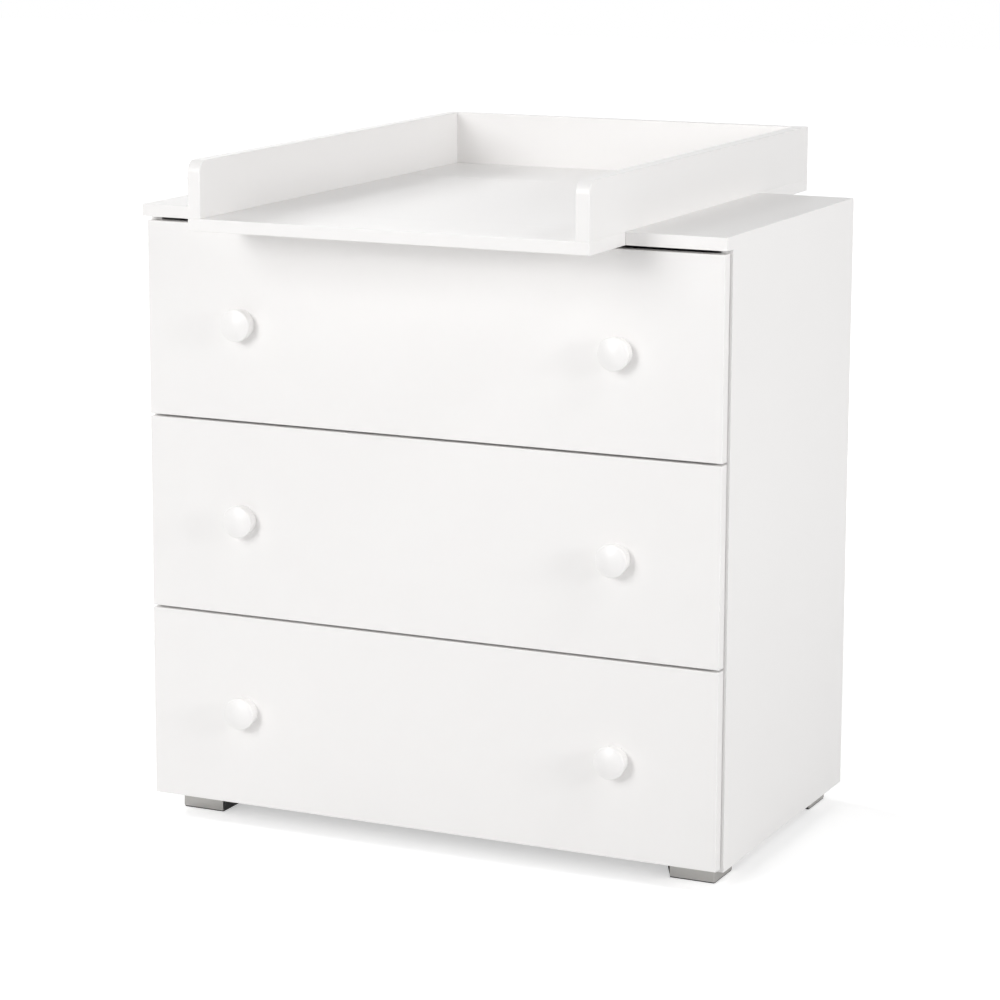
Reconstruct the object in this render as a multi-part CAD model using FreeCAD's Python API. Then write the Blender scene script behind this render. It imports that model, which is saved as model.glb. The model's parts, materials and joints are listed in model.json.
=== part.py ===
import FreeCAD, Part
import math
import os

from FreeCAD import Vector

# Changing dresser: a three-drawer chest with a lift-off changing top.
# Millimetres. +X is the right-hand side seen from the front, -Y is the front, +Z is up.
# The origin is on the floor, in the middle of the width and of the changing top's depth.

# ---------------------------------------------------------------- chest
chest_width = 800.0
chest_depth = 460.0
top_height = 813.0            # floor to the upper face of the top panel
board = 16.0                  # melamine-faced chipboard of chest and drawer fronts
arris = 1.0                   # rounding of edge-banded edges
seam_arris = 0.5              # rounding along the seams between rails and boards
front_setback = 5.0           # drawer fronts behind the top panel's front edge
front_side_reveal = 4.0       # drawer fronts narrower than the chest, each side
front_top_reveal = 5.5        # shadow gap under the top panel
front_bottom_reveal = 4.5     # side panels reach below the lowest front
front_gap = 3.0               # between one front and the next
bumper_gap = 1.2              # rear face of a closed front to the side panels
drawer_count = 3

back_sheet = 3.0              # hardboard back
back_inset = 12.0             # rear edge of the boards to the back's rear face
groove_depth = 6.0
groove_play = 0.2
sheet_end_play = 0.5          # edge of a hardboard sheet to the bottom of its groove

# ---------------------------------------------------------------- feet
foot_side = 60.0
foot_height = 25.0            # floor to the bottom panel
foot_wall = 2.0
foot_corner = 2.5
foot_slope = 6.0              # inner side of the plastic block, wider at its top than on the floor
foot_side_inset = 21.0
foot_front_inset = 48.0       # from the top panel's front edge
foot_rear_inset = 3.0
glide_show = 1.6              # plastic below the foot's metal rim
glide_inset = 0.8             # plastic rim behind the metal's outer faces
foot_screw_spacing = 34.0
foot_bore_play = 0.6          # screw head to its bore in the plastic block

# ---------------------------------------------------------------- changing top
tray_width = 540.0
tray_front_overhang = 110.0
tray_rear_overhang = 185.0
rail_thickness = 18.0
rail_height = 72.0
rail_nose_radius = 16.0
tray_play = 0.5               # between the changing top's boards and the top panel
tray_lift = 150.0             # height at which the changing top is clear of the chest

# ---------------------------------------------------------------- drawer boxes
box_wall = 12.0
box_height = 180.0
box_back_gap = 24.0           # rear of a drawer box to the hardboard back
box_sheet = 3.0
box_sheet_rise = 10.0         # lower edge of a drawer side to the drawer bottom

# ---------------------------------------------------------------- roller runners
runner_gap = 13.0             # side panel to drawer box
runner_rise = 18.0            # lower edge of a front to the channel's underside
sheet = 1.2                   # steel sheet of both runner members
roller_radius = 10.0
roller_width = 6.5
roller_offset = 3.4           # side panel to the outer face of the front roller
roll_play = 0.3               # roller to the surface it runs on
flange_play = 0.8
channel_flange = 10.8
channel_lip = 9.0
angle_shelf = 12.0            # flange under the drawer side
channel_setback = 2.0         # channel behind the side panel's front edge
roller_end = 12.0             # roller axis to the end of its member
roller_spread = 72.8          # between the roller axes of a fully open drawer
stop_play = 0.5
axle_radius = 2.5
axle_collar = 4.0
axle_head = 3.8
axle_head_height = 0.9
axle_end_play = 0.15
hub_play = 0.05               # running fit of rollers on their axles

# ---------------------------------------------------------------- knobs
knob_inset = 140.0            # knob axis to the side of the chest
knob_base_radius = 18.8
knob_waist_radius = 18.2
knob_rim_radius = 21.0
knob_rim_height = 18.5
knob_rim_round = 2.6
knob_height = 22.5
knob_bore_depth = 12.0
knob_screw_length = 25.0

# ---------------------------------------------------------------- fasteners
screw_fit = 0.05              # radial play of screws, bolts and dowels in their holes
screw_radius = 2.0
screw_head_radius = 3.9
channel_screw_length = 14.0
angle_screw_length = 10.5
foot_screw_length = 15.0
tray_screw_length = 45.0
tray_screw_inset = 28.0
dowel_radius = 4.0
dowel_length = 30.0
dowel_face_depth = 11.0       # dowel in the face of a 16 mm board
dowel_wall_depth = 8.0        # dowel in the face of a drawer side
cam_radius = 7.5
cam_depth = 12.5
cam_distance = 24.0           # board end to the cam's axis
cam_inset = 50.0              # upper cams to the front and rear edge of a side panel
floor_cam_inset = 130.0       # lower cams, clear of the feet
dowel_step = 32.0             # cam to the dowel beside it
box_dowel_inset = 40.0
bolt_thread_radius = 3.0
bolt_thread_length = 11.0
bolt_shaft_radius = 2.2
bolt_head_radius = 3.6
bolt_head_height = 3.0
bolt_bore_radius = 4.0

# ---------------------------------------------------------------- places worked out from the sizes
X = Vector(1, 0, 0)
Y = Vector(0, 1, 0)
Z = Vector(0, 0, 1)

half_width = chest_width / 2
half_tray = tray_width / 2
tray_depth = tray_front_overhang + chest_depth + tray_rear_overhang
tray_front = -tray_depth / 2
tray_rear = tray_depth / 2
top_front = tray_front + tray_front_overhang
chest_rear = top_front + chest_depth
top_under = top_height - board
front_face = top_front + front_setback
front_back = front_face + board
side_front = front_back + bumper_gap
side_inner = half_width - board
back_rear = chest_rear - back_inset
back_front = back_rear - back_sheet
floor_top = foot_height + board

front_half = half_width - front_side_reveal
fronts_low = foot_height + front_bottom_reveal
fronts_high = top_under - front_top_reveal
front_height = (fronts_high - fronts_low - (drawer_count - 1) * front_gap) / drawer_count
drawer_names = ["bottom", "middle", "top"][:drawer_count]

box_outer = side_inner - runner_gap
box_inner = box_outer - box_wall
box_rear = back_front - box_back_gap

# Heights inside a runner, measured from the channel's underside.
rear_roller_rise = sheet + roll_play + roller_radius
channel_clear = rear_roller_rise + roller_radius + flange_play / 2
channel_height = channel_clear + sheet
running_rise = channel_height + flange_play
front_roller_rise = running_rise - roll_play - roller_radius
shelf_rise = front_roller_rise - roller_radius - flange_play
box_rise = shelf_rise + sheet
channel_front = side_front + channel_setback
front_roller_y = channel_front + roller_end
rear_roller_y = box_rear - roller_end
channel_stop = rear_roller_y + roller_radius + stop_play
channel_rear = channel_stop + sheet
drawer_travel = rear_roller_y - front_roller_y - roller_spread


def front_low(level):
    return fronts_low + level * (front_height + front_gap)


def runner_low(level):
    return front_low(level) + runner_rise


def box_low(level):
    return runner_low(level) + box_rise


# ---------------------------------------------------------------- shape helpers
def block(first, second):
    """Box between two opposite corners, given in any order."""
    low = Vector(min(first.x, second.x), min(first.y, second.y), min(first.z, second.z))
    size = Vector(abs(first.x - second.x), abs(first.y - second.y), abs(first.z - second.z))
    return Part.makeBox(size.x, size.y, size.z, low)


def disc(radius, height, base, axis):
    return Part.makeCylinder(radius, height, base, axis)


def turned(profile, base, axis):
    """Solid of revolution: profile holds (radius, height) pairs from the axis and back to it."""
    points = [Vector(radius, 0, height) for radius, height in profile]
    face = Part.Face(Part.makePolygon(points + points[:1]))
    solid = face.revolve(Vector(0, 0, 0), Z, 360)
    solid.Placement = FreeCAD.Placement(base, FreeCAD.Rotation(Z, axis))
    return solid


def mirrored(shape):
    return shape.mirror(Vector(0, 0, 0), X)


def both_sides(shapes):
    return shapes + [mirrored(shape) for shape in shapes]


def group(shapes):
    return Part.makeCompound(shapes)


def rounded(shape, radius, wanted):
    """Round the straight edges for which wanted(low corner, high corner) holds."""
    edges = []
    for edge in shape.Edges:
        box = edge.BoundBox
        low = Vector(box.XMin, box.YMin, box.ZMin)
        high = Vector(box.XMax, box.YMax, box.ZMax)
        if wanted(low, high):
            edges.append(edge)
    return shape.makeFillet(radius, edges)


def near(value, place):
    return abs(value - place) < 0.01


def write(node, shape):
    solids = shape.Solids
    if not all(solid.isValid() and solid.Volume > 0 for solid in solids):
        raise ValueError("bad solid in " + node)
    shape = solids[0] if len(solids) == 1 else group(solids)
    shape.exportStep("parts/" + node + ".step")


# ---------------------------------------------------------------- fasteners
def wood_screw(tip, axis, length):
    """Countersunk screw whose head lies at tip and whose shank runs along axis."""
    profile = [(0, 0), (screw_head_radius, 0), (screw_radius, screw_head_radius - screw_radius),
               (screw_radius, length - 3), (0.6, length), (0, length)]
    return turned(profile, tip, axis)


def wood_screw_hole(tip, axis, length):
    head = screw_head_radius + screw_fit
    shank = screw_radius + screw_fit
    profile = [(0, -1), (head + 1, -1), (shank, head - shank), (shank, length + screw_fit),
               (0, length + screw_fit)]
    return turned(profile, tip, axis)


def pan_screw(seat, axis, length):
    """Screw with a low round head on the seat and its shank along axis."""
    head = 1.8
    profile = [(0, -head), (screw_head_radius - 1, -head), (screw_head_radius, -head + 0.8),
               (screw_head_radius, 0), (screw_radius, 0), (screw_radius, length - 2), (0.8, length),
               (0, length)]
    return turned(profile, seat, axis)


def pan_screw_hole(seat, axis, length):
    return disc(screw_radius + screw_fit, length + 1 + screw_fit, seat - axis, axis)


def dowel(middle, axis):
    return disc(dowel_radius, dowel_length, middle - axis * (dowel_length / 2), axis)


def dowel_hole(middle, axis):
    length = dowel_length + 2 * screw_fit
    return disc(dowel_radius + screw_fit, length, middle - axis * (length / 2), axis)


def cam_bolt(seat, axis):
    """Bolt screwed into one board at the seat, with its shaft along axis into the other."""
    tip = cam_distance + bolt_head_height / 2
    profile = [(0, -bolt_thread_length), (bolt_thread_radius, -bolt_thread_length), (bolt_thread_radius, 0),
               (bolt_bore_radius - 0.3, 0), (bolt_bore_radius - 0.3, 2), (bolt_shaft_radius, 2),
               (bolt_shaft_radius, tip - bolt_head_height), (bolt_head_radius, tip - bolt_head_height),
               (bolt_head_radius, tip), (0, tip)]
    return turned(profile, seat, axis)


def cam_housing(seat, axis, face):
    """Cam whose slotted front lies in the board's face and which grips a bolt coming along axis."""
    centre = seat + axis * cam_distance + face * (board / 2)
    body = disc(cam_radius, cam_depth, centre, face * -1)
    across = axis.cross(face)
    slot_low = centre - axis * (cam_radius * 0.7) - across * 0.8 - face * 2.5
    slot_high = centre + axis * (cam_radius * 0.7) + across * 0.8 + face
    slot = block(slot_low, slot_high)
    turned_slot = slot.copy()
    turned_slot.rotate(centre, face, 90)
    entry = seat + axis * (cam_distance - cam_radius - 1)
    keyway = disc(bolt_head_radius + 0.6, cam_radius + 1 + bolt_head_height, entry, axis)
    return body.cut([slot, turned_slot, keyway])


def cam_pocket(seat, axis, face):
    centre = seat + axis * cam_distance + face * (board / 2)
    return disc(cam_radius + screw_fit, cam_depth + screw_fit + 1, centre + face, face * -1)


def bolt_bore(seat, axis):
    return disc(bolt_bore_radius, cam_distance + cam_radius / 2, seat, axis)


def bolt_thread_hole(seat, axis):
    length = bolt_thread_length + screw_fit
    return disc(bolt_thread_radius + screw_fit, length, seat - axis * length, axis)


# ---------------------------------------------------------------- sheet steel
def folded(path, y_low, y_high, base):
    """Folded strip along Y on the right-hand side: path holds (distance from the side panel,
    height over base) pairs, and the sheet lies on its left. Outer bends are round."""
    count = len(path) - 1
    runs = []
    for start, end in zip(path, path[1:]):
        length = math.dist(start, end)
        runs.append(((end[0] - start[0]) / length, (end[1] - start[1]) / length))
    sides = [(-run[1] * sheet, run[0] * sheet) for run in runs]

    def place(point):
        return Vector(side_inner - point[0], y_low, base + point[1])

    def moved(point, side, share=1.0):
        return (point[0] + side[0] * share, point[1] + side[1] * share)

    edges = [Part.LineSegment(place(a), place(b)).toShape() for a, b in zip(path, path[1:])]
    here = moved(path[-1], sides[-1])
    edges.append(Part.LineSegment(place(path[-1]), place(here)).toShape())
    for index in range(count - 1, 0, -1):
        corner = path[index]
        after, before = sides[index], sides[index - 1]
        turn = runs[index - 1][0] * runs[index][1] - runs[index - 1][1] * runs[index][0]
        both = (after[0] + before[0], after[1] + before[1])
        if turn < 0:
            arc_start = moved(corner, after)
            arc_end = moved(corner, before)
            arc_middle = moved(corner, both, sheet / math.hypot(*both))
            edges.append(Part.LineSegment(place(here), place(arc_start)).toShape())
            edges.append(Part.Arc(place(arc_start), place(arc_middle), place(arc_end)).toShape())
            here = arc_end
        else:
            inside = moved(corner, both)
            edges.append(Part.LineSegment(place(here), place(inside)).toShape())
            here = inside
    last = moved(path[0], sides[0])
    edges.append(Part.LineSegment(place(here), place(last)).toShape())
    edges.append(Part.LineSegment(place(last), place(path[0])).toShape())
    return Part.Face(Part.Wire(edges)).extrude(Y * (y_high - y_low))


def axle(web_face, into, y, z):
    """Riveted axle: a collar on the web, a shank for the roller and a head that keeps it on."""
    collar = abs(web_face - into) - axle_end_play
    shank = collar + roller_width + 2 * axle_end_play
    profile = [(0, -sheet), (axle_collar, -sheet), (axle_collar, collar), (axle_radius, collar),
               (axle_radius, shank), (axle_head, shank), (axle_head, shank + axle_head_height),
               (0, shank + axle_head_height)]
    direction = X if into < web_face else X * -1
    return turned(profile, Vector(side_inner - web_face, y, z), direction)


def roller(y, z):
    """Nylon wheel with a hub and a rim on a thinner web, on the right-hand side."""
    bore = axle_radius + hub_play
    hub = axle_collar + 1
    rim = roller_radius - 2
    edge = 0.6
    recess = 1.2
    width = roller_width
    profile = [(bore, 0), (hub, 0), (hub, recess), (rim, recess), (rim, 0), (roller_radius - edge, 0),
               (roller_radius, edge), (roller_radius, width - edge), (roller_radius - edge, width),
               (rim, width), (rim, width - recess), (hub, width - recess), (hub, width), (bore, width)]
    return turned(profile, Vector(side_inner - roller_offset, y, z), X * -1)


def channel_screw_places(level):
    z = runner_low(level) + rear_roller_rise
    inset = 40.0
    return [Vector(side_inner - sheet, y, z) for y in (channel_front + inset, channel_rear - inset)]


def channel(level):
    """Right-hand channel: closed at the rear, with a lug that stops the drawer's roller."""
    low = runner_low(level)
    lug_reach = roller_radius * 0.45
    lug_low = low + rear_roller_rise + lug_reach
    lug_distance = math.sqrt(roller_radius ** 2 - lug_reach ** 2) + stop_play
    lug_back = rear_roller_y - drawer_travel - lug_distance
    floor_path = [(channel_flange, sheet), (sheet, sheet), (sheet, channel_height)]
    full_path = floor_path[:2] + [(sheet, channel_clear), (channel_lip, channel_clear)]
    front_part = folded(floor_path, channel_front, lug_back, low)
    rear_part = folded(full_path, lug_back, channel_rear, low)
    lug = block(Vector(side_inner, lug_back - sheet, lug_low),
                Vector(side_inner - channel_lip, lug_back, low + channel_height - sheet / 2))
    lug_bend = block(Vector(side_inner, lug_back - sheet, low + channel_height - sheet),
                     Vector(side_inner - channel_lip, lug_back + sheet, low + channel_height))
    rear_stop = block(Vector(side_inner, channel_stop, low + sheet / 2),
                      Vector(side_inner - channel_lip, channel_rear, low + channel_height - sheet / 2))
    pin = axle(sheet, roller_offset, front_roller_y, low + front_roller_rise)
    shape = front_part.fuse([rear_part, lug, lug_bend, rear_stop, pin]).removeSplitter()
    holes = [wood_screw_hole(place, X, channel_screw_length) for place in channel_screw_places(level)]
    return shape.cut(holes)


def angle(level):
    """Right-hand runner member of a drawer, with the shelf that carries the drawer side."""
    low = runner_low(level)
    web = runner_gap - sheet
    path = [(roller_offset - flange_play / 2, running_rise), (web, running_rise), (web, shelf_rise),
            (runner_gap + angle_shelf, shelf_rise)]
    shape = folded(path, front_back, box_rear, low)
    pin = axle(web, roller_offset + roller_width, rear_roller_y, low + rear_roller_rise)
    shape = shape.fuse(pin).removeSplitter()
    holes = [wood_screw_hole(place, Z, angle_screw_length) for place in angle_screw_places(level)]
    return shape.cut(holes)


def angle_screw_places(level):
    x = box_outer - box_wall / 2
    z = runner_low(level) + shelf_rise
    inset = 45.0
    return [Vector(x, y, z) for y in (front_back + inset, box_rear - inset)]


# ---------------------------------------------------------------- joints of the boards
def top_cams():
    """Seat, direction and face of each cam between a right side panel and the top panel."""
    x = half_width - board / 2
    places = (side_front + cam_inset, chest_rear - cam_inset)
    return [(Vector(x, y, top_under), Z * -1, X * -1) for y in places]


def floor_cams():
    z = foot_height + board / 2
    places = (side_front + floor_cam_inset, chest_rear - floor_cam_inset)
    return [(Vector(side_inner, y, z), X * -1, Z * -1) for y in places]


def dowel_middle(seat, axis, face_depth):
    return seat + axis * (dowel_length / 2 - face_depth)


def chest_dowels():
    """Middle and axis of each dowel in the right half of the chest."""
    places = []
    for seat, axis, face in top_cams() + floor_cams():
        step = dowel_step if seat.y < (side_front + chest_rear) / 2 else -dowel_step
        places.append((dowel_middle(seat + Y * step, axis, dowel_face_depth), axis))
    return places


def box_dowels(level):
    """Dowels on the right of a drawer: drawer side to front, then drawer side to back."""
    places = []
    for rise in (box_dowel_inset + box_sheet_rise, box_height - box_dowel_inset):
        z = box_low(level) + rise
        seat = Vector(box_outer - box_wall / 2, front_back, z)
        places.append((dowel_middle(seat, Y, dowel_face_depth), Y))
        seat = Vector(box_inner, box_rear - box_wall / 2, z)
        places.append((dowel_middle(seat, X * -1, dowel_wall_depth), X * -1))
    return places


# ---------------------------------------------------------------- chest
def foot_centres():
    x = half_width - foot_side_inset - foot_side / 2
    front = top_front + foot_front_inset + foot_side / 2
    rear = chest_rear - foot_rear_inset - foot_side / 2
    return {"front_right": (x, front), "rear_right": (x, rear),
            "front_left": (-x, front), "rear_left": (-x, rear)}


def foot_screw_places(centre):
    x, y = centre
    half = foot_screw_spacing / 2
    return [Vector(x + shift, y, foot_height - foot_wall) for shift in (-half, half)]


def placed(shape, centre):
    """Foot piece drawn for the front right corner about the foot's middle, set at any corner."""
    x, y = centre
    if x < 0:
        shape = mirrored(shape)
    if y > 0:
        shape = shape.mirror(Vector(0, 0, 0), Y)
    return shape.translated(Vector(x, y, 0))


def foot():
    """Metal corner: walls on the two outer sides and a top plate, for the front right foot."""
    half = foot_side / 2
    shell = block(Vector(-half, -half, glide_show), Vector(half, half, foot_height))
    shell = rounded(shell, foot_corner, lambda low, high: near(low.x, half) and near(high.y, -half))
    hollow = block(Vector(-half - 1, -half + foot_wall, 0),
                   Vector(half - foot_wall, half + 1, foot_height - foot_wall))
    holes = [pan_screw_hole(place, Z, foot_wall) for place in foot_screw_places((0, 0))]
    return shell.cut([hollow] + holes)


def foot_block():
    """Plastic block behind the metal corner, with a sloping inner side and a tread under the rim."""
    half = foot_side / 2
    inside = half - foot_wall - screw_fit
    edge = half - glide_inset
    high = foot_height - foot_wall
    section = [Vector(-half, -inside, 0), Vector(inside, -inside, 0), Vector(inside, -inside, high),
               Vector(-half - foot_slope, -inside, high)]
    core = Part.Face(Part.makePolygon(section + section[:1])).extrude(Y * (inside + half))
    tread = block(Vector(-half, -edge, 0), Vector(edge, half, glide_show))
    tread = rounded(tread, foot_corner, lambda low, high: near(low.x, edge) and near(high.y, -edge))
    bore = screw_head_radius + foot_bore_play
    bores = [disc(bore, foot_height, place - Z * foot_height, Z) for place in foot_screw_places((0, 0))]
    return core.fuse(tread).removeSplitter().cut(bores)


def side_panel(dowels, bolts):
    """Right-hand side panel with its groove, bores and pockets."""
    panel = block(Vector(side_inner, side_front, foot_height), Vector(half_width, chest_rear, top_under))
    panel = rounded(panel, arris, lambda low, high: near(high.y, side_front) and high.z - low.z > board)
    cutters = [block(Vector(side_inner - 1, back_front - groove_play, foot_height - 1),
                     Vector(side_inner + groove_depth, back_rear, top_under + 1))]
    cutters += [dowel_hole(middle, axis) for middle, axis in dowels]
    for seat, axis, face in top_cams():
        cutters += [cam_pocket(seat, axis, face), bolt_bore(seat, axis)]
    cutters += [bolt_thread_hole(seat, axis) for seat, axis, face in bolts]
    for level in range(drawer_count):
        cutters += [wood_screw_hole(place, X, channel_screw_length) for place in channel_screw_places(level)]
    return panel.cut(cutters)


def top_panel(dowels):
    panel = block(Vector(-half_width, top_front, top_under), Vector(half_width, chest_rear, top_height))
    panel = rounded(panel, arris, lambda low, high: near(low.z, top_height) and near(high.z, top_height))
    cutters = [block(Vector(-side_inner - groove_depth, back_front - groove_play, top_under - 1),
                     Vector(side_inner + groove_depth, back_rear, top_under + groove_depth))]
    right = [dowel_hole(middle, axis) for middle, axis in dowels]
    right += [bolt_thread_hole(seat, axis) for seat, axis, face in top_cams()]
    return panel.cut(cutters + both_sides(right))


def bottom_panel(dowels, feet):
    panel = block(Vector(-side_inner, side_front, foot_height), Vector(side_inner, chest_rear, floor_top))
    cutters = [block(Vector(-half_width, back_front - groove_play, floor_top - groove_depth),
                     Vector(half_width, back_rear, floor_top + 1))]
    right = [dowel_hole(middle, axis) for middle, axis in dowels]
    for seat, axis, face in floor_cams():
        right += [cam_pocket(seat, axis, face), bolt_bore(seat, axis)]
    for centre in feet.values():
        cutters += [pan_screw_hole(place, Z, foot_screw_length) for place in foot_screw_places(centre)]
    return panel.cut(cutters + both_sides(right))


def back_panel():
    reach = side_inner + groove_depth - sheet_end_play
    return block(Vector(-reach, back_front, floor_top - groove_depth + sheet_end_play),
                 Vector(reach, back_rear, top_under + groove_depth - sheet_end_play))


def write_chest():
    feet = foot_centres()
    dowels = chest_dowels()
    right = side_panel(dowels, floor_cams())
    write("side_panel_right", right)
    write("side_panel_left", mirrored(right))
    write("top_panel", top_panel(dowels))
    write("bottom_panel", bottom_panel(dowels, feet))
    write("back_panel", back_panel())
    cams = top_cams() + floor_cams()
    write("cam_housings", group(both_sides([cam_housing(seat, axis, face) for seat, axis, face in cams])))
    write("cam_bolts", group(both_sides([cam_bolt(seat, axis) for seat, axis, face in cams])))
    write("chest_dowels", group(both_sides([dowel(middle, axis) for middle, axis in dowels])))
    for name, centre in feet.items():
        write("foot_" + name, placed(foot(), centre))
    write("foot_glides", group([placed(foot_block(), centre) for centre in feet.values()]))
    seats = [place for centre in feet.values() for place in foot_screw_places(centre)]
    write("foot_screws", group([pan_screw(seat, Z, foot_screw_length) for seat in seats]))


def write_channels():
    levels = range(drawer_count)
    right = [channel(level) for level in levels]
    write("cabinet_runners_right", group(right))
    write("cabinet_runners_left", group([mirrored(shape) for shape in right]))
    places = [place for level in levels for place in channel_screw_places(level)]
    screws = [wood_screw(place, X, channel_screw_length) for place in places]
    write("cabinet_runner_screws", group(both_sides(screws)))
    for level in levels:
        wheel = roller(front_roller_y, runner_low(level) + front_roller_rise)
        write("cabinet_rollers_" + drawer_names[level], group(both_sides([wheel])))


# ---------------------------------------------------------------- drawers
def knob(place):
    """Round knob on a front: a slightly waisted body, a rounded rim and a domed face."""
    slope_end = knob_rim_height - knob_rim_round
    face_edge = knob_rim_radius - knob_rim_round
    diagonal = knob_rim_round * math.sqrt(0.5)
    rise = knob_height - knob_rim_height
    dome_radius = (face_edge ** 2 + rise ** 2) / (2 * rise)
    dome_middle = knob_height - dome_radius + math.sqrt(dome_radius ** 2 - (face_edge / 2) ** 2)

    def at(radius, height):
        return Vector(radius, 0, height)

    edges = [
        Part.LineSegment(at(0, 0), at(knob_base_radius, 0)),
        Part.Arc(at(knob_base_radius, 0), at(knob_waist_radius, knob_rim_height / 3),
                 at(knob_rim_radius, slope_end)),
        Part.Arc(at(knob_rim_radius, slope_end), at(face_edge + diagonal, slope_end + diagonal),
                 at(face_edge, knob_rim_height)),
        Part.Arc(at(face_edge, knob_rim_height), at(face_edge / 2, dome_middle), at(0, knob_height)),
        Part.LineSegment(at(0, knob_height), at(0, 0)),
    ]
    face = Part.Face(Part.Wire([edge.toShape() for edge in edges]))
    solid = face.revolve(Vector(0, 0, 0), Z, 360)
    solid.Placement = FreeCAD.Placement(place, FreeCAD.Rotation(Z, Y * -1))
    return solid.cut(disc(screw_radius + screw_fit, knob_bore_depth, place, Y * -1))


def knob_place(level):
    return Vector(half_width - knob_inset, front_face, front_low(level) + front_height / 2)


def drawer_front(level, dowels):
    low = front_low(level)
    panel = block(Vector(-front_half, front_face, low), Vector(front_half, front_back, low + front_height))
    panel = rounded(panel, arris, lambda low, high: near(high.y, front_face))
    sheet_low = box_low(level) + box_sheet_rise
    groove = block(Vector(-box_inner - groove_depth, front_back - groove_depth, sheet_low),
                   Vector(box_inner + groove_depth, front_back + 1, sheet_low + box_sheet + groove_play))
    right = [dowel_hole(middle, axis) for middle, axis in dowels]
    right.append(pan_screw_hole(knob_place(level) + Y * board, Y * -1, board))
    return panel.cut([groove] + both_sides(right))


def drawer_side(level, dowels):
    low = box_low(level)
    panel = block(Vector(box_inner, front_back, low), Vector(box_outer, box_rear, low + box_height))
    high = low + box_height
    panel = rounded(panel, arris, lambda start, end: near(start.z, high) and end.y - start.y > box_wall)
    sheet_low = low + box_sheet_rise
    groove = block(Vector(box_inner - 1, front_back - 1, sheet_low),
                   Vector(box_inner + groove_depth, box_rear + 1, sheet_low + box_sheet + groove_play))
    holes = [dowel_hole(middle, axis) for middle, axis in dowels]
    holes += [wood_screw_hole(place, Z, angle_screw_length) for place in angle_screw_places(level)]
    return panel.cut([groove] + holes)


def drawer_back(level, dowels):
    low = box_low(level) + box_sheet_rise + box_sheet
    high = box_low(level) + box_height
    panel = block(Vector(-box_inner, box_rear - box_wall, low), Vector(box_inner, box_rear, high))
    panel = rounded(panel, arris, lambda start, end: near(start.z, high) and end.x - start.x > box_wall)
    return panel.cut(both_sides([dowel_hole(middle, axis) for middle, axis in dowels]))


def drawer_bottom(level):
    low = box_low(level) + box_sheet_rise
    reach = box_inner + groove_depth - sheet_end_play
    return block(Vector(-reach, front_back - groove_depth + sheet_end_play, low),
                 Vector(reach, box_rear, low + box_sheet))


def write_drawer(level):
    prefix = "drawer_" + drawer_names[level] + "_"
    dowels = box_dowels(level)
    side = drawer_side(level, dowels)
    member = angle(level)
    write(prefix + "front", drawer_front(level, dowels))
    write(prefix + "side_right", side)
    write(prefix + "side_left", mirrored(side))
    write(prefix + "back", drawer_back(level, dowels))
    write(prefix + "bottom", drawer_bottom(level))
    write(prefix + "dowels", group(both_sides([dowel(middle, axis) for middle, axis in dowels])))
    write(prefix + "runners", group(both_sides([member])))
    screws = [wood_screw(place, Z, angle_screw_length) for place in angle_screw_places(level)]
    write(prefix + "runner_screws", group(both_sides(screws)))
    wheel = roller(rear_roller_y, runner_low(level) + rear_roller_rise)
    write(prefix + "rollers", group(both_sides([wheel])))
    place = knob_place(level)
    write(prefix + "knobs", group(both_sides([knob(place)])))
    screw = pan_screw(place + Y * board, Y * -1, knob_screw_length)
    write(prefix + "knob_screws", group(both_sides([screw])))


# ---------------------------------------------------------------- changing top
def tray_screws():
    """Head and direction of each screw of the changing top."""
    rail_x = half_tray - rail_thickness / 2
    back_y = tray_rear - board / 2
    places = []
    for y in (tray_front + tray_screw_inset, top_front - tray_screw_inset,
              chest_rear + tray_screw_inset, tray_rear - board - 2 * tray_screw_inset):
        places += [(Vector(x, y, top_under), Z) for x in (-rail_x, rail_x)]
    spread = half_tray / 2
    places += [(Vector(x, back_y, top_under), Z) for x in (-spread, 0, spread)]
    for rise in (rail_height / 4, rail_height * 3 / 4):
        places += [(Vector(x, tray_rear, top_height + rise), Y * -1) for x in (-rail_x, rail_x)]
    return places


def tray_rail(holes):
    """Right-hand rail with its rounded nose."""
    high = top_height + rail_height
    rear = tray_rear - board
    rail = block(Vector(half_tray - rail_thickness, tray_front, top_height), Vector(half_tray, rear, high))
    rail = rounded(rail, rail_nose_radius, lambda start, end: near(end.y, tray_front) and near(start.z, high))

    def outline(start, end):
        along_face = near(end.x - start.x, 0)
        return along_face and end.z > top_height + arris and start.y < rear - arris

    def seam(start, end):
        return near(end.z, top_height) and start.y < rear - arris

    return rounded(rounded(rail, arris, outline), seam_arris, seam).cut(holes)


def board_seam(start, end):
    """Long upper edges of a board of the changing top, under the outer faces of its rails."""
    return near(start.z, top_height) and end.y - start.y > board


def write_tray():
    screws = tray_screws()
    holes = [wood_screw_hole(place, axis, tray_screw_length) for place, axis in screws]
    rail = tray_rail(holes)
    write("tray_rail_right", rail)
    write("tray_rail_left", mirrored(rail))
    front = block(Vector(-half_tray, tray_front, top_under),
                  Vector(half_tray, top_front - tray_play, top_height))
    front = rounded(front, arris, lambda start, end: near(end.y, tray_front))
    front = rounded(front, seam_arris, board_seam)
    write("tray_front_board", front.cut(holes))
    rear = block(Vector(-half_tray, chest_rear + tray_play, top_under),
                 Vector(half_tray, tray_rear, top_height))
    rear = rounded(rear, seam_arris, board_seam)
    write("tray_rear_board", rear.cut(holes))
    back_high = top_height + rail_height
    back = block(Vector(-half_tray, tray_rear - board, top_height), Vector(half_tray, tray_rear, back_high))
    back = rounded(back, arris, lambda start, end: near(start.z, back_high))
    back = rounded(back, seam_arris, lambda start, end: near(end.z, top_height) and end.x - start.x > 1)
    write("tray_back_board", back.cut(holes))
    write("tray_screws", group([wood_screw(place, axis, tray_screw_length) for place, axis in screws]))


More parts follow.
